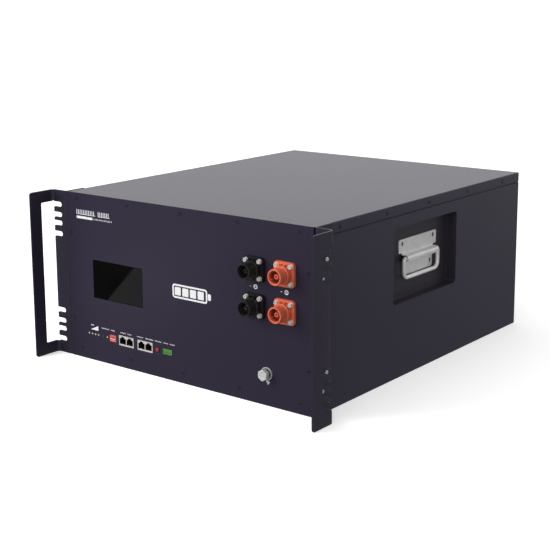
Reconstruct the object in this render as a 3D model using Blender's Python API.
"""Server rack battery: a 48 V class storage module in a folded steel case.

The case is a tray, a top cover, a rear panel and a front panel, with a bent sheet bracket on each
side that is both rack ear and pull handle. Each side has a recessed pocket with a folding lift
handle. The front panel carries a display, status lights, data ports, a coding switch, a reset
button, a signal terminal block, four round power sockets and an earth bolt. Inside are sixteen
prismatic cells between end plates, their contact board, the management board and the busbars.

Coordinates: X to the right, Y to the back, Z up. The pieces are drawn with Y = 0 on the front
panel's face, and an empty moves them so that the world origin is under the middle of the object.
"""

import math

import bmesh
import bpy
from mathutils import Matrix, Vector

# ---------------------------------------------------------------- driving dimensions (metres)
GAP = 0.0003                   # air between pieces that touch
WELD = 0.0010                  # how far joined shapes run into one another
OVERALL_WIDTH = 0.4826         # across both ears, the 19 inch rack standard
PANEL_HEIGHT = 0.2345
CASE_DEPTH = 0.5215            # panel face to rear face
HANDLE_REACH = 0.0415          # how far the pull handles stand out of the panel
BODY_HALF = 0.2120             # half the width of the case
CASE_SHEET = 0.0015
PANEL_SHEET = 0.0020

# Ear brackets
SIDE_BEND_INNER = 0.0025       # bend between the side flange and the ear
SIDE_BEND_OUTER = SIDE_BEND_INNER + PANEL_SHEET
HANDLE_BEND_INNER = 0.0055     # bend between the ear and the handle plate
HANDLE_BEND_OUTER = HANDLE_BEND_INNER + PANEL_SHEET
EAR_RETURN = 0.0340            # flange along the side of the case
HANDLE_ARM = 0.0165            # height of the handle's top and bottom arms
HANDLE_BAR = 0.0195            # width of the handle's front bar
HANDLE_CORNER = 0.0040
WINDOW_INTO_EAR = 0.0043       # how far the hand window wraps round the bend
WINDOW_CORNER = 0.0020
SLOT_RADIUS = 0.0035
SLOT_INNER_X = 0.2225          # inner end of each rack slot
SLOT_FROM_EDGE = (0.0203, 0.0349, 0.0468, 0.0621)

# Top cover
COVER_DROP = 0.0004            # cover top below the panel's top edge
COVER_FLANGE = 0.0137
SEAM = 0.0015                  # dark joint under the cover's flange

# Flanges of the tray and the rear panel
FRONT_FLANGE = 0.0160
BOTTOM_FLANGE = 0.0180
REAR_FLANGE = 0.0140

# Side pockets and folding handles, depths counted from the panel face
POCKET_FRONT = 0.1750
POCKET_BACK = 0.3360
POCKET_LOW = 0.1010
POCKET_HIGH = 0.2030
POCKET_DEPTH = 0.0153
POCKET_CORNER = 0.0050
POCKET_LIP = 0.0100
HANDLE_CENTRE_Y = 0.2558
HINGE_Z = 0.1557
HINGE_INSET = 0.0080           # hinge axis behind the face of the side
PLATE_SHEET = 0.0015
PLATE_TOP = 0.1811
PLATE_LOW = 0.1315
PLATE_UPPER_HALF = 0.0475
PLATE_LOWER_HALF = 0.0377
ROLL_HALF = 0.0400
ROLL_RADIUS = 0.0048
ROD_RADIUS = 0.0030
BAIL_HALF = 0.0438             # hinge centre to leg centre
BAIL_DROP = 0.0257             # hinge axis to the grip bar's axis
BAIL_CORNER = 0.0090
BAIL_PIVOT_BEND = 0.0035

# Display
DISPLAY_CENTRE = (-0.1167, 0.1173)
DISPLAY_SIZE = (0.0934, 0.0532)
DISPLAY_CORNER = 0.0010
DISPLAY_SET_BACK = 0.0002
DISPLAY_BACK = 0.0027
MODULE_MARGIN = 0.0050         # display module larger than its window, all round
MODULE_BACK = 0.0130

# Row of ports along the bottom of the panel, whose bodies stand on the interface board
PROUD = 0.0004                 # how far a flush fitting stands out of the panel
BEHIND_PANEL = 0.0030
BOARD_FACE = 0.0305
SWITCH_BACK = 0.0080
SIGNAL_BACK = 0.0100
LIGHT_BAR_TOP = 0.0400
LIGHT_Z = 0.0376
LIGHT_RADIUS = 0.0013
CHARGE_LIGHT_FIRST = -0.1756
CHARGE_LIGHT_PITCH = 0.0061
ALARM_LIGHT_X = -0.1483
RUN_LIGHT_X = -0.1400
CODE_SWITCH_X = -0.12875
CODE_SWITCH_SIZE = (0.0117, 0.0092)
LEVER_PITCH = 0.00254
LEVER_SIZE = 0.0014
LEVER_TRAVEL = 0.0016
DATA_PORT_X = (-0.1031, -0.06785)
DATA_PORT_SIZE = (0.0278, 0.0140)
DATA_PORT_Z = 0.0379
DATA_PORT_DEPTH = 0.0200
PORT_HALF_PITCH = 0.0066
PORT_HOLE_DEPTH = 0.0125
PORT_STEPS = ((0.0117, -0.0047, 0.0021), (0.0062, 0.0015, 0.0040), (0.0034, 0.0030, 0.0055))
RESET_X = -0.0448
RESET_RADIUS = 0.0028
RESET_COLLAR = 0.0036
RESET_TRAVEL = 0.0015
SIGNAL_X = -0.02645
SIGNAL_SIZE = (0.0155, 0.0070)
SIGNAL_PITCH = 0.0036
SIGNAL_HOLE = (0.0026, 0.0044)
SIGNAL_HOLE_DEPTH = 0.0060
ROW_Z = 0.0379

# Power sockets and earth bolt
NEGATIVE_X = 0.1232
POSITIVE_X = 0.1708
SOCKET_UPPER_Z = 0.1725
SOCKET_LOWER_Z = 0.1259
FLANGE_SIZE = 0.0310
FLANGE_THICK = 0.0040
FLANGE_CORNER = 0.0045
BOSS_RADIUS = 0.0118
BOSS_REACH = 0.0110
BARREL_RADIUS = 0.01025
BORE_RADIUS = 0.0080
SOCKET_REACH = 0.0235
BORE_DEPTH = 0.0165
SPIGOT_RADIUS = 0.0090
SPIGOT_BACK = 0.0100
PIN_RADIUS = 0.0032
PIN_SET_BACK = 0.0040          # tip of the pin behind the rim of the barrel
PIN_HOLLOW_RADIUS = 0.0016
PIN_HOLLOW_DEPTH = 0.0120
COLLAR_RADIUS = 0.0065
STUD_RADIUS = 0.0040
STUD_BACK = 0.0280
EARTH_X = 0.1410
EARTH_Z = 0.0417
EARTH_HEAD_RADIUS = 0.0075
EARTH_HEAD = (-0.0105, -0.0050)
EARTH_SHANK_RADIUS = 0.0040
EARTH_SHANK_BACK = 0.0140
SPRING_WASHER_RADIUS = 0.0065
SPRING_WASHER = (-0.0060, -0.0024)
WASHER_RADIUS = 0.0085
WASHER_FRONT = -0.0020

# Cells and their surroundings
CELL_WIDTH = 0.1735
CELL_THICK = 0.0538
CELL_HEIGHT = 0.2075
CELL_PITCH = 0.0541
CELLS_PER_ROW = 8
CELL_ROW_X = 0.0872
CELL_FLOOR = 0.0030
CELLS_FRONT = 0.0783
END_PLATE_SHEET = 0.0040
END_PLATE_HALF = 0.1760
END_PLATE_TOP = 0.2080
TERMINAL_HEIGHT = 0.0030
TERMINAL_HALF = (0.0100, 0.0070)
TERMINAL_X = 0.0550            # terminal centre from the middle of its cell
CONTACT_BOARD_HALF = 0.1700
CONTACT_BOARD_SHEET = 0.0030

# Boards, heatsink and busbars
INTERFACE_BOARD = ((-0.1850, 0.0046, 0.0286), (-0.0120, 0.0460, 0.0302))
PILLAR_RADIUS = 0.0030
PILLAR_X = (-0.1800, -0.0170)
PILLAR_Y = (0.0110, 0.0410)
MANAGEMENT_BOARD = ((-0.1700, 0.0330, 0.0600), (0.0950, 0.0346, 0.2050))
SINK_LOW = (-0.1600, 0.0360, 0.0650)
SINK_HIGH = (0.0850, 0.0560, 0.2000)
SINK_BASE = 0.0040
FIN_COUNT = 15
FIN_PITCH = 0.0175
FIN_SHEET = 0.0020
SPACER_SIDE = 0.0060
SPACER_X = (-0.1590, 0.0780)
SPACER_Z = (0.0660, 0.1930)
BUSBAR_HALF = 0.0100
BUSBAR_SHEET = 0.0030
BUSBAR_LOW = 0.1120
BUSBAR_TOP = 0.1860
POSITIVE_LEG_BACK = 0.1200
CROSS_BAR_X = 0.0700
CROSS_BAR_Z = (0.1400, 0.1580)
CROSS_FOOT_BACK = 0.0327

CASE_FRONT = PANEL_SHEET + GAP
COVER_TOP = PANEL_HEIGHT - COVER_DROP
COVER_EDGE = COVER_TOP - COVER_FLANGE
SIDE_TOP = COVER_EDGE - SEAM
LEDGE_TOP = COVER_TOP - CASE_SHEET - GAP
LEDGE_OUTER = BODY_HALF - CASE_SHEET - GAP
LEDGE_INNER = LEDGE_OUTER - CASE_SHEET
POCKET_FLOOR_X = BODY_HALF - POCKET_DEPTH
HINGE_X = BODY_HALF - HINGE_INSET
PLATE_BACK_X = POCKET_FLOOR_X + GAP
BUSBAR_FRONT = SPIGOT_BACK + 0.0036
OVERALL_DEPTH = CASE_DEPTH + HANDLE_REACH
PANEL_FACE_Y = HANDLE_REACH - OVERALL_DEPTH / 2

# Colours: (red, green, blue), roughness, metallic
FINISHES = {
    "case_paint": ((0.030, 0.027, 0.041), 0.55, 0.0),
    "panel_paint": ((0.034, 0.030, 0.046), 0.50, 0.0),
    "bracket_paint": ((0.034, 0.030, 0.046), 0.50, 0.0),
    "pocket_paint": ((0.022, 0.021, 0.024), 0.60, 0.0),
    "zinc": ((0.62, 0.62, 0.62), 0.30, 1.0),
    "display_glass": ((0.004, 0.004, 0.004), 0.10, 0.0),
    "module_plastic": ((0.030, 0.030, 0.030), 0.60, 0.0),
    "orange_plastic": ((0.75, 0.120, 0.030), 0.45, 0.0),
    "black_plastic": ((0.010, 0.010, 0.010), 0.45, 0.0),
    "contact_silver": ((0.75, 0.73, 0.70), 0.25, 1.0),
    "port_shell": ((0.60, 0.58, 0.55), 0.35, 1.0),
    "switch_red": ((0.65, 0.020, 0.020), 0.40, 0.0),
    "lever_white": ((0.80, 0.80, 0.78), 0.45, 0.0),
    "signal_green": ((0.050, 0.320, 0.050), 0.45, 0.0),
    "light_pipe": ((0.60, 0.70, 0.55), 0.30, 0.0),
    "board_green": ((0.015, 0.110, 0.045), 0.55, 0.0),
    "heatsink_metal": ((0.45, 0.45, 0.46), 0.40, 1.0),
    "copper": ((0.80, 0.40, 0.22), 0.30, 1.0),
    "end_plate_metal": ((0.55, 0.56, 0.58), 0.40, 1.0),
    "cell_film": ((0.020, 0.090, 0.250), 0.40, 0.0),
}


# ---------------------------------------------------------------- tools
def clear_scene():
    for item in list(bpy.data.objects):
        bpy.data.objects.remove(item, do_unlink=True)


def material(name):
    found = bpy.data.materials.get(name)
    if found:
        return found
    colour, roughness, metallic = FINISHES[name]
    made = bpy.data.materials.new(name)
    made.use_nodes = True
    shader = made.node_tree.nodes["Principled BSDF"]
    shader.inputs["Base Color"].default_value = (*colour, 1.0)
    shader.inputs["Roughness"].default_value = roughness
    shader.inputs["Metallic"].default_value = metallic
    return made


def arc(centre, radius, start, end, steps):
    """Points on an arc from start to end degrees, both ends included."""
    angles = [math.radians(start + (end - start) * step / steps) for step in range(steps + 1)]
    return [(centre[0] + radius * math.cos(a), centre[1] + radius * math.sin(a)) for a in angles]


def rounded_rectangle(low, high, radius, steps=3):
    points = []
    points += arc((high[0] - radius, high[1] - radius), radius, 0, 90, steps)
    points += arc((low[0] + radius, high[1] - radius), radius, 90, 180, steps)
    points += arc((low[0] + radius, low[1] + radius), radius, 180, 270, steps)
    points += arc((high[0] - radius, low[1] + radius), radius, 270, 360, steps)
    return points


def circle(centre, radius, sides, turn=0.0):
    return arc(centre, radius, turn, turn + 360, sides)[:-1]


def on_axis(axis, level, first, second):
    """A point at that level along axis, from its coordinates in the two other axes."""
    if axis == "X":
        return (level, first, second)
    if axis == "Y":
        return (first, level, second)
    return (first, second, level)


def prism(outline, axis, low, high):
    """Closed solid: an outline in the two other axes, drawn out along axis from low to high."""
    shape = bmesh.new()
    rings = []
    for level in (low, high):
        rings.append([shape.verts.new(on_axis(axis, level, *point)) for point in outline])
    shape.faces.new(rings[0])
    shape.faces.new(rings[1])
    count = len(outline)
    for index in range(count):
        following = (index + 1) % count
        shape.faces.new((rings[0][index], rings[0][following], rings[1][following], rings[1][index]))
    bmesh.ops.recalc_face_normals(shape, faces=shape.faces)
    return shape


def block(low, high):
    return prism([(low[0], low[1]), (high[0], low[1]), (high[0], high[1]), (low[0], high[1])],
                 "Z", low[2], high[2])


def rod(axis, centre, radius, low, high, sides=24, turn=0.0):
    return prism(circle(centre, radius, sides, turn), axis, low, high)


def closed_rod(path, radius, normal, sides):
    """Round rod along a closed flat path; normal is square to the path's plane."""
    shape = bmesh.new()
    count = len(path)
    rings = []
    for index, point in enumerate(path):
        across = normal.cross((path[(index + 1) % count] - path[index - 1]).normalized())
        ring = []
        for step in range(sides):
            angle = 2 * math.pi * step / sides
            out = math.cos(angle) * normal + math.sin(angle) * across
            ring.append(shape.verts.new(point + radius * out))
        rings.append(ring)
    for index in range(count):
        first, second = rings[index], rings[(index + 1) % count]
        for step in range(sides):
            following = (step + 1) % sides
            shape.faces.new((first[step], first[following], second[following], second[step]))
    bmesh.ops.recalc_face_normals(shape, faces=shape.faces)
    return shape


def as_object(shape, name):
    mesh = bpy.data.meshes.new(name)
    shape.to_mesh(mesh)
    shape.free()
    made = bpy.data.objects.new(name, mesh)
    bpy.context.scene.collection.objects.link(made)
    return made


def combine(target, tool, operation):
    modifier = target.modifiers.new(operation.lower(), "BOOLEAN")
    modifier.operation = operation
    modifier.solver = "EXACT"
    modifier.object = tool
    bpy.context.view_layer.update()
    result = bpy.data.meshes.new_from_object(target.evaluated_get(bpy.context.evaluated_depsgraph_get()))
    target.modifiers.remove(modifier)
    target.data = result
    bpy.data.objects.remove(tool, do_unlink=True)


def mirror_x(mesh):
    shape = bmesh.new()
    shape.from_mesh(mesh)
    shape.transform(Matrix.Scale(-1, 4, (1, 0, 0)))
    bmesh.ops.reverse_faces(shape, faces=shape.faces)
    shape.to_mesh(mesh)
    shape.free()


def part(name, finish, add, cut=(), keep=(), mirrored=False, pivot=(0, 0, 0), smooth=False):
    """One sub-part: the shapes in add joined, those in cut taken away, trimmed to those in keep.

    pivot is a moving piece's joint, on the side where the piece ends up.
    """
    made = as_object(add[0], name)
    for operation, shapes in (("UNION", add[1:]), ("DIFFERENCE", cut), ("INTERSECT", keep)):
        for shape in shapes:
            combine(made, as_object(shape, name + "_tool"), operation)
    if mirrored:
        mirror_x(made.data)
    made.name = name
    made.data.name = name
    made.data.transform(Matrix.Translation(-Vector(pivot)))
    made.location = pivot
    made.data.materials.clear()
    made.data.materials.append(material(finish))
    if smooth:
        made.data.shade_smooth()
        made.data.set_sharp_from_angle(angle=math.radians(30))
    made.parent = bpy.data.objects["panel_face_centre"]
    return made


# ---------------------------------------------------------------- case
def side_wall(sign):
    """Side of the tray, with the inward step that the cover's flange slides over."""
    outer, inner = BODY_HALF, BODY_HALF - CASE_SHEET
    front, back = CASE_FRONT, CASE_DEPTH
    strip_front = CASE_FRONT + CASE_SHEET + 2 * GAP
    strip_back = CASE_DEPTH - 2 * CASE_SHEET - 2 * GAP
    shapes = []
    for low_x, high_x, low_z, high_z, low_y, high_y in (
            (inner, outer, 0, SIDE_TOP, front, back),
            (LEDGE_INNER, outer, SIDE_TOP - CASE_SHEET, SIDE_TOP, strip_front, strip_back),
            (LEDGE_INNER, LEDGE_OUTER, SIDE_TOP - CASE_SHEET, LEDGE_TOP, strip_front, strip_back)):
        x = sorted((sign * low_x, sign * high_x))
        shapes.append(block((x[0], low_y, low_z), (x[1], high_y, high_z)))
    return shapes


def front_flange(sign):
    x = sorted((sign * (BODY_HALF - FRONT_FLANGE), sign * BODY_HALF))
    return block((x[0], CASE_FRONT, 0), (x[1], CASE_FRONT + CASE_SHEET, SIDE_TOP))


def pocket_outline(grow=0.0):
    return rounded_rectangle((POCKET_FRONT - grow, POCKET_LOW - grow),
                             (POCKET_BACK + grow, POCKET_HIGH + grow), POCKET_CORNER + grow)


def make_case():
    floor = block((-BODY_HALF, CASE_FRONT, 0), (BODY_HALF, CASE_DEPTH, CASE_SHEET))
    bottom_flange = block((-BODY_HALF, CASE_FRONT, 0), (BODY_HALF, CASE_FRONT + CASE_SHEET, BOTTOM_FLANGE))
    shapes = [floor, bottom_flange]
    for sign in (-1, 1):
        shapes += side_wall(sign)
        shapes.append(front_flange(sign))
    cuts = []
    for sign in (-1, 1):
        low, high = sorted((sign * (BODY_HALF - 0.007), sign * (BODY_HALF + 0.008)))
        cuts.append(prism(pocket_outline(), "X", low, high))
    part("chassis_tray", "case_paint", shapes, cuts)

    cover = [block((-BODY_HALF, CASE_FRONT, COVER_TOP - CASE_SHEET), (BODY_HALF, CASE_DEPTH, COVER_TOP))]
    for sign in (-1, 1):
        x = sorted((sign * (BODY_HALF - CASE_SHEET), sign * BODY_HALF))
        cover.append(block((x[0], CASE_FRONT, COVER_EDGE), (x[1], CASE_DEPTH, COVER_TOP)))
    for low_y in (CASE_FRONT, CASE_DEPTH - CASE_SHEET):
        cover.append(block((-BODY_HALF, low_y, COVER_EDGE), (BODY_HALF, low_y + CASE_SHEET, COVER_TOP)))
    part("top_cover", "case_paint", cover)

    inside = LEDGE_OUTER
    strip_y = CASE_DEPTH - 2 * CASE_SHEET - GAP
    rear = [block((-inside, CASE_DEPTH - CASE_SHEET, CASE_SHEET + GAP), (inside, CASE_DEPTH, SIDE_TOP))]
    strip_half = LEDGE_INNER - GAP
    rear.append(block((-strip_half, strip_y, SIDE_TOP - CASE_SHEET), (strip_half, CASE_DEPTH, SIDE_TOP)))
    rear.append(block((-strip_half, strip_y, SIDE_TOP - CASE_SHEET),
                      (strip_half, strip_y + CASE_SHEET, LEDGE_TOP)))
    for sign in (-1, 1):
        x = sorted((sign * (inside - CASE_SHEET), sign * inside))
        rear.append(block((x[0], CASE_DEPTH - REAR_FLANGE, CASE_SHEET + GAP),
                          (x[1], CASE_DEPTH, SIDE_TOP - 0.004)))
    part("rear_panel", "case_paint", rear)


# ---------------------------------------------------------------- front panel
def light_places():
    charge = [CHARGE_LIGHT_FIRST + CHARGE_LIGHT_PITCH * index for index in range(4)]
    return charge + [ALARM_LIGHT_X, RUN_LIGHT_X]


def socket_places():
    return {
        "negative_socket_upper": (NEGATIVE_X, SOCKET_UPPER_Z),
        "negative_socket_lower": (NEGATIVE_X, SOCKET_LOWER_Z),
        "positive_socket_upper": (POSITIVE_X, SOCKET_UPPER_Z),
        "positive_socket_lower": (POSITIVE_X, SOCKET_LOWER_Z),
    }


def opening(centre, size, radius, margin=GAP):
    """Cut-out through the panel for a rectangular face of the given size."""
    half = (size[0] / 2 + margin, size[1] / 2 + margin)
    outline = rounded_rectangle((centre[0] - half[0], centre[1] - half[1]),
                                (centre[0] + half[0], centre[1] + half[1]), radius, 2)
    return prism(outline, "Y", -0.01, 0.01)


def make_front_panel():
    plate = block((-BODY_HALF, 0, 0), (BODY_HALF, PANEL_SHEET, PANEL_HEIGHT))
    cuts = [
        opening(DISPLAY_CENTRE, DISPLAY_SIZE, 0.0012),
        opening((CODE_SWITCH_X, ROW_Z), CODE_SWITCH_SIZE, 0.0005),
        opening((SIGNAL_X, ROW_Z), SIGNAL_SIZE, 0.0005),
        rod("Y", (RESET_X, ROW_Z), RESET_RADIUS + GAP, -0.01, 0.01, 20),
        rod("Y", (EARTH_X, EARTH_Z), EARTH_SHANK_RADIUS + GAP, -0.01, 0.01, 16),
    ]
    cuts += [opening((x, DATA_PORT_Z), DATA_PORT_SIZE, 0.0005) for x in DATA_PORT_X]
    cuts += [rod("Y", (x, LIGHT_Z), LIGHT_RADIUS + GAP, -0.01, 0.01, 12) for x in light_places()]
    cuts += [rod("Y", place, SPIGOT_RADIUS + GAP, -0.01, 0.01, 24) for place in socket_places().values()]
    part("front_panel", "panel_paint", [plate], cuts)


def bracket_outline():
    """Sheet bracket seen from above, right side: side flange, ear, then handle plate."""
    flange_x = BODY_HALF + GAP
    outer_x = OVERALL_WIDTH / 2
    inner_x = outer_x - PANEL_SHEET
    first = (flange_x + SIDE_BEND_OUTER, SIDE_BEND_OUTER)
    second = (inner_x - HANDLE_BEND_INNER, -HANDLE_BEND_INNER)
    points = [(flange_x, EAR_RETURN)]
    points += arc(first, SIDE_BEND_OUTER, 180, 270, 5)
    points += arc(second, HANDLE_BEND_INNER, 90, 0, 6)
    points += [(inner_x, -HANDLE_REACH), (outer_x, -HANDLE_REACH)]
    points += arc(second, HANDLE_BEND_OUTER, 0, 90, 6)
    points += arc(first, SIDE_BEND_INNER, 270, 180, 5)
    points.append((flange_x + PANEL_SHEET, EAR_RETURN))
    return points


def rack_slot(height):
    """Round-ended slot in the ear, open to the hand window."""
    centre = (SLOT_INNER_X + SLOT_RADIUS, height)
    outline = arc(centre, SLOT_RADIUS, 90, 270, 6)
    past_window = OVERALL_WIDTH / 2 - WINDOW_INTO_EAR + 0.001
    outline += [(past_window, height - SLOT_RADIUS), (past_window, height + SLOT_RADIUS)]
    return prism(outline, "Y", -2 * PANEL_SHEET, 3 * PANEL_SHEET)


def make_ear_brackets():
    for side, mirrored in (("right", False), ("left", True)):
        window = prism(rounded_rectangle((-HANDLE_REACH + HANDLE_BAR, HANDLE_ARM),
                                         (0.010, PANEL_HEIGHT - HANDLE_ARM), WINDOW_CORNER, 2),
                       "X", OVERALL_WIDTH / 2 - WINDOW_INTO_EAR, OVERALL_WIDTH / 2 + 0.005)
        cuts = [window]
        for inset in SLOT_FROM_EDGE:
            cuts.append(rack_slot(inset))
            cuts.append(rack_slot(PANEL_HEIGHT - inset))
        sheet = prism(rounded_rectangle((-HANDLE_REACH, 0), (2 * EAR_RETURN, PANEL_HEIGHT), HANDLE_CORNER, 4),
                      "X", BODY_HALF, OVERALL_WIDTH)
        part(side + "_ear_bracket", "bracket_paint", [prism(bracket_outline(), "Z", 0, PANEL_HEIGHT)],
             cuts, [sheet], mirrored)


# ---------------------------------------------------------------- side pockets and lift handles
def make_pockets():
    back = POCKET_FLOOR_X - CASE_SHEET
    for side, mirrored in (("right", False), ("left", True)):
        lip = prism(pocket_outline(POCKET_LIP), "X", LEDGE_INNER, LEDGE_OUTER)
        pan = prism(pocket_outline(CASE_SHEET), "X", back, LEDGE_OUTER)
        hollow = prism(pocket_outline(), "X", POCKET_FLOOR_X, BODY_HALF + 0.005)
        part(side + "_handle_pocket", "pocket_paint", [lip, pan], [hollow], mirrored=mirrored)


def plate_block(half, low_z, high_z, low_x, high_x):
    return block((low_x, HANDLE_CENTRE_Y - half, low_z), (high_x, HANDLE_CENTRE_Y + half, high_z))


def make_handle_plates():
    """Sheet plate whose middle is rolled round the bail's pivots."""
    front = PLATE_BACK_X + PLATE_SHEET
    past_roll = ROLL_HALF + 0.020
    for side, mirrored in (("right", False), ("left", True)):
        shapes = [
            plate_block(PLATE_UPPER_HALF, HINGE_Z + 0.0045, PLATE_TOP, PLATE_BACK_X, front),
            plate_block(PLATE_LOWER_HALF, PLATE_LOW, HINGE_Z + 0.0100, PLATE_BACK_X, front),
            plate_block(ROLL_HALF, HINGE_Z - 0.0035, HINGE_Z + 0.0046, PLATE_BACK_X, HINGE_X),
            rod("Y", (HINGE_X, HINGE_Z), ROLL_RADIUS, HANDLE_CENTRE_Y - ROLL_HALF,
                HANDLE_CENTRE_Y + ROLL_HALF, 20),
        ]
        bore = rod("Y", (HINGE_X, HINGE_Z), ROD_RADIUS + GAP, HANDLE_CENTRE_Y - past_roll,
                   HANDLE_CENTRE_Y + past_roll, 20, 9.0)
        part(side + "_handle_plate", "zinc", shapes, [bore], mirrored=mirrored, smooth=True)


def bail_path():
    """Centre line of half the bail, in the hinge's plane: pivot at the top, grip bar at the bottom."""
    turn = (BAIL_HALF - BAIL_PIVOT_BEND, -BAIL_PIVOT_BEND)
    corner = (BAIL_HALF - BAIL_CORNER, -BAIL_DROP + BAIL_CORNER)
    return arc(turn, BAIL_PIVOT_BEND, 90, 0, 4) + arc(corner, BAIL_CORNER, 0, -90, 6)


def make_bails():
    """Bent round rod, a closed loop whose top bar turns in the plate's roll."""
    for side, mirrored in (("right", False), ("left", True)):
        half = bail_path()
        outline = half + [(-across, down) for across, down in reversed(half)]
        path = [Vector((HINGE_X, HANDLE_CENTRE_Y + across, HINGE_Z + down)) for across, down in outline]
        shape = closed_rod(path, ROD_RADIUS, Vector((1, 0, 0)), 12)
        hinge_x = -HINGE_X if mirrored else HINGE_X
        part(side + "_bail", "zinc", [shape], mirrored=mirrored,
             pivot=(hinge_x, HANDLE_CENTRE_Y, HINGE_Z), smooth=True)


# ---------------------------------------------------------------- panel fittings
def make_display():
    half = (DISPLAY_SIZE[0] / 2, DISPLAY_SIZE[1] / 2)
    outline = rounded_rectangle((DISPLAY_CENTRE[0] - half[0], DISPLAY_CENTRE[1] - half[1]),
                                (DISPLAY_CENTRE[0] + half[0], DISPLAY_CENTRE[1] + half[1]),
                                DISPLAY_CORNER, 2)
    part("display_window", "display_glass", [prism(outline, "Y", DISPLAY_SET_BACK, DISPLAY_BACK)])
    reach = (half[0] + MODULE_MARGIN, half[1] + MODULE_MARGIN)
    low = (DISPLAY_CENTRE[0] - reach[0], DISPLAY_BACK + GAP, DISPLAY_CENTRE[1] - reach[1])
    high = (DISPLAY_CENTRE[0] + reach[0], MODULE_BACK, DISPLAY_CENTRE[1] + reach[1])
    part("display_module", "module_plastic", [block(low, high)])


def make_status_lights():
    bar = block((CHARGE_LIGHT_FIRST - 0.003, BEHIND_PANEL, BOARD_FACE),
                (RUN_LIGHT_X + 0.003, SWITCH_BACK, LIGHT_BAR_TOP))
    stubs = [rod("Y", (x, LIGHT_Z), LIGHT_RADIUS, -PROUD, BEHIND_PANEL + WELD, 12) for x in light_places()]
    part("status_light_bar", "light_pipe", [bar] + stubs)


def make_code_switch():
    half = (CODE_SWITCH_SIZE[0] / 2, CODE_SWITCH_SIZE[1] / 2)
    body = block((CODE_SWITCH_X - half[0], -PROUD, ROW_Z - half[1]),
                 (CODE_SWITCH_X + half[0], SWITCH_BACK, ROW_Z + half[1]))
    foot = block((CODE_SWITCH_X - half[0], BEHIND_PANEL, BOARD_FACE),
                 (CODE_SWITCH_X + half[0], SWITCH_BACK, ROW_Z))
    slot_half = (LEVER_SIZE / 2 + GAP, LEVER_SIZE / 2 + LEVER_TRAVEL / 2 + GAP)
    slots = []
    for index in range(4):
        x = CODE_SWITCH_X + (index - 1.5) * LEVER_PITCH
        slots.append(block((x - slot_half[0], -0.002, ROW_Z - slot_half[1]),
                           (x + slot_half[0], 0.0025, ROW_Z + slot_half[1])))
        rest_z = ROW_Z - LEVER_TRAVEL / 2
        lever = block((x - LEVER_SIZE / 2, -0.0010, rest_z - LEVER_SIZE / 2),
                      (x + LEVER_SIZE / 2, 0.0022, rest_z + LEVER_SIZE / 2))
        part("code_lever_%d" % (index + 1), "lever_white", [lever], pivot=(x, 0, rest_z))
    part("code_switch_body", "switch_red", [body, foot], slots)


def make_data_ports():
    """Twin port blocks, each port with the stepped latch notch at its top."""
    half = (DATA_PORT_SIZE[0] / 2, DATA_PORT_SIZE[1] / 2)
    for name, centre_x in zip(("data_port_left", "data_port_right"), DATA_PORT_X):
        body = block((centre_x - half[0], -PROUD, DATA_PORT_Z - half[1]),
                     (centre_x + half[0], DATA_PORT_DEPTH, DATA_PORT_Z + half[1]))
        cuts = []
        for x in (centre_x - PORT_HALF_PITCH, centre_x + PORT_HALF_PITCH):
            for width, low, high in PORT_STEPS:
                cuts.append(block((x - width / 2, -0.002, DATA_PORT_Z + low),
                                  (x + width / 2, PORT_HOLE_DEPTH, DATA_PORT_Z + high)))
        part(name, "port_shell", [body], cuts)


def make_reset():
    stem = [
        rod("Y", (RESET_X, ROW_Z), RESET_RADIUS, -RESET_TRAVEL, BEHIND_PANEL, 20),
        rod("Y", (RESET_X, ROW_Z), RESET_COLLAR, BEHIND_PANEL - 0.0005, BEHIND_PANEL + 0.0005, 20),
    ]
    part("reset_button", "switch_red", stem, pivot=(RESET_X, 0, ROW_Z), smooth=True)
    switch_front = BEHIND_PANEL + RESET_TRAVEL + 0.0010
    part("reset_switch", "black_plastic", [block((RESET_X - 0.0035, switch_front, BOARD_FACE),
                                                 (RESET_X + 0.0035, switch_front + 0.0040, ROW_Z + 0.0033))])


def make_signal_block():
    half = (SIGNAL_SIZE[0] / 2, SIGNAL_SIZE[1] / 2)
    body = block((SIGNAL_X - half[0], -0.0010, ROW_Z - half[1]),
                 (SIGNAL_X + half[0], SIGNAL_BACK, ROW_Z + half[1]))
    foot = block((SIGNAL_X - half[0], BEHIND_PANEL, BOARD_FACE), (SIGNAL_X + half[0], SIGNAL_BACK, ROW_Z))
    pockets = []
    for index in range(4):
        x = SIGNAL_X + (index - 1.5) * SIGNAL_PITCH
        pockets.append(block((x - SIGNAL_HOLE[0] / 2, -0.002, ROW_Z - SIGNAL_HOLE[1] / 2),
                             (x + SIGNAL_HOLE[0] / 2, SIGNAL_HOLE_DEPTH, ROW_Z + SIGNAL_HOLE[1] / 2)))
    part("signal_terminal_block", "signal_green", [body, foot], pockets)


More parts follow.
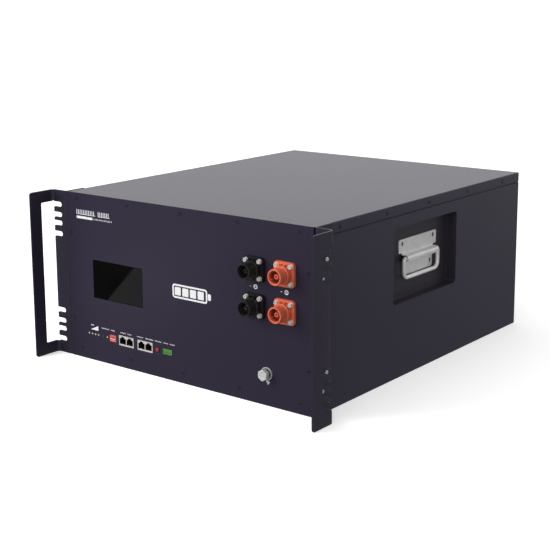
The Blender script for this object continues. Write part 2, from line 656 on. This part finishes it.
def make_sockets():
    """Round power sockets: flange, boss and barrel, with the contact pin through the web."""
    for name, (x, z) in socket_places().items():
        half = FLANGE_SIZE / 2
        flange = prism(rounded_rectangle((x - half, z - half), (x + half, z + half), FLANGE_CORNER, 3),
                       "Y", -GAP - FLANGE_THICK, -GAP)
        shapes = [
            flange,
            rod("Y", (x, z), BOSS_RADIUS, -BOSS_REACH, -FLANGE_THICK / 2),
            rod("Y", (x, z), BARREL_RADIUS, -SOCKET_REACH, -FLANGE_THICK / 2),
            rod("Y", (x, z), SPIGOT_RADIUS, -FLANGE_THICK / 2, SPIGOT_BACK),
        ]
        cuts = [
            rod("Y", (x, z), BORE_RADIUS, -SOCKET_REACH - 0.002, -SOCKET_REACH + BORE_DEPTH),
            rod("Y", (x, z), PIN_RADIUS + GAP, -SOCKET_REACH - 0.002, SPIGOT_BACK + 0.002, 16),
        ]
        finish = "orange_plastic" if name.startswith("positive") else "black_plastic"
        part(name, finish, shapes, cuts, smooth=True)
        contact = [
            rod("Y", (x, z), PIN_RADIUS, -SOCKET_REACH + PIN_SET_BACK, SPIGOT_BACK + 0.0010, 16),
            rod("Y", (x, z), COLLAR_RADIUS, SPIGOT_BACK + GAP, BUSBAR_FRONT - GAP, 16),
            rod("Y", (x, z), STUD_RADIUS, SPIGOT_BACK + 0.0020, STUD_BACK, 16),
        ]
        hollow = rod("Y", (x, z), PIN_HOLLOW_RADIUS, -SOCKET_REACH, -SOCKET_REACH + PIN_HOLLOW_DEPTH, 12)
        part(name.replace("socket", "contact"), "contact_silver", contact, [hollow], smooth=True)


def make_earth_bolt():
    centre = (EARTH_X, EARTH_Z)
    head = rod("Y", centre, EARTH_HEAD_RADIUS, *EARTH_HEAD, 6, 30.0)
    shank = rod("Y", centre, EARTH_SHANK_RADIUS, EARTH_HEAD[1] - WELD, EARTH_SHANK_BACK, 16)
    spring_washer = rod("Y", centre, SPRING_WASHER_RADIUS, *SPRING_WASHER, 20)
    part("earth_bolt", "zinc", [head, shank, spring_washer])
    washer = rod("Y", centre, WASHER_RADIUS, WASHER_FRONT, -GAP, 24)
    hole = rod("Y", centre, EARTH_SHANK_RADIUS + GAP, -0.01, 0.01, 16)
    part("earth_washer", "zinc", [washer], [hole], smooth=True)


# ---------------------------------------------------------------- inside the case
def make_boards():
    feet = [rod("Z", (x, y), PILLAR_RADIUS, CASE_SHEET + GAP, INTERFACE_BOARD[1][2] - 0.0012, 8)
            for x in PILLAR_X for y in PILLAR_Y]
    part("interface_board", "board_green", [block(*INTERFACE_BOARD)] + feet)
    part("management_board", "board_green", [block(*MANAGEMENT_BOARD)])


def make_heatsink():
    """Finned plate behind the management board, on four spacers that reach the end plate."""
    base_back = SINK_LOW[1] + SINK_BASE
    shapes = [block(SINK_LOW, (SINK_HIGH[0], base_back, SINK_HIGH[2]))]
    for index in range(FIN_COUNT):
        x = SINK_LOW[0] + FIN_PITCH * index
        shapes.append(block((x, base_back - WELD, SINK_LOW[2]), (x + FIN_SHEET, SINK_HIGH[1], SINK_HIGH[2])))
    spacer_back = CELLS_FRONT - END_PLATE_SHEET - 2 * GAP
    for x in SPACER_X:
        for z in SPACER_Z:
            shapes.append(block((x, base_back - WELD, z), (x + SPACER_SIDE, spacer_back, z + SPACER_SIDE)))
    part("heatsink", "heatsink_metal", shapes)


def make_busbars():
    """Flat copper bars on the sockets' studs."""
    front, back = BUSBAR_FRONT, BUSBAR_FRONT + BUSBAR_SHEET
    leg_low = CELL_FLOOR + CELL_HEIGHT + TERMINAL_HEIGHT + CONTACT_BOARD_SHEET + 2 * GAP
    leg_high = leg_low + BUSBAR_SHEET
    holes = {
        x: [rod("Y", (x, z), STUD_RADIUS + GAP, 0.0, 0.03, 16) for z in (SOCKET_UPPER_Z, SOCKET_LOWER_Z)]
        for x in (POSITIVE_X, NEGATIVE_X)
    }
    riser = block((POSITIVE_X - BUSBAR_HALF, front, BUSBAR_LOW), (POSITIVE_X + BUSBAR_HALF, back, leg_high))
    leg = block((POSITIVE_X - BUSBAR_HALF, front, leg_low),
                (POSITIVE_X + BUSBAR_HALF, POSITIVE_LEG_BACK, leg_high))
    part("positive_busbar", "copper", [riser, leg], holes[POSITIVE_X])
    riser = block((NEGATIVE_X - BUSBAR_HALF, front, BUSBAR_LOW), (NEGATIVE_X + BUSBAR_HALF, back, BUSBAR_TOP))
    cross = block((CROSS_BAR_X, front, CROSS_BAR_Z[0]), (NEGATIVE_X, back, CROSS_BAR_Z[1]))
    foot = block((CROSS_BAR_X, front, CROSS_BAR_Z[0]),
                 (CROSS_BAR_X + BUSBAR_SHEET, CROSS_FOOT_BACK, CROSS_BAR_Z[1]))
    part("negative_busbar", "copper", [riser, cross, foot], holes[NEGATIVE_X])


def make_cells():
    """Two rows of prismatic cells, squeezed between two end plates, under one contact board."""
    half = CELL_WIDTH / 2
    top = CELL_FLOOR + CELL_HEIGHT
    for row, row_x in enumerate((-CELL_ROW_X, CELL_ROW_X)):
        for index in range(CELLS_PER_ROW):
            front = CELLS_FRONT + CELL_PITCH * index
            middle = front + CELL_THICK / 2
            shapes = [block((row_x - half, front, CELL_FLOOR), (row_x + half, front + CELL_THICK, top))]
            for x in (row_x - TERMINAL_X, row_x + TERMINAL_X):
                shapes.append(block((x - TERMINAL_HALF[0], middle - TERMINAL_HALF[1], top - WELD),
                                    (x + TERMINAL_HALF[0], middle + TERMINAL_HALF[1], top + TERMINAL_HEIGHT)))
            part("cell_%02d" % (row * CELLS_PER_ROW + index + 1), "cell_film", shapes)
    back = CELLS_FRONT + CELL_PITCH * CELLS_PER_ROW
    for name, low_y in (("front_end_plate", CELLS_FRONT - GAP - END_PLATE_SHEET), ("rear_end_plate", back)):
        plate = block((-END_PLATE_HALF, low_y, CASE_SHEET + GAP),
                      (END_PLATE_HALF, low_y + END_PLATE_SHEET, END_PLATE_TOP))
        part(name, "end_plate_metal", [plate])
    board_low = top + TERMINAL_HEIGHT + GAP
    board = block((-CONTACT_BOARD_HALF, CELLS_FRONT + 0.004, board_low),
                  (CONTACT_BOARD_HALF, back - 0.004, board_low + CONTACT_BOARD_SHEET))
    part("cell_contact_board", "board_green", [board])


def main():
    clear_scene()
    centre = bpy.data.objects.new("panel_face_centre", None)
    centre.location = (0, PANEL_FACE_Y, 0)
    bpy.context.scene.collection.objects.link(centre)
    make_case()
    make_front_panel()
    make_ear_brackets()
    make_pockets()
    make_handle_plates()
    make_bails()
    make_display()
    make_status_lights()
    make_code_switch()
    make_data_ports()
    make_reset()
    make_signal_block()
    make_sockets()
    make_earth_bolt()
    make_boards()
    make_heatsink()
    make_busbars()
    make_cells()


main()
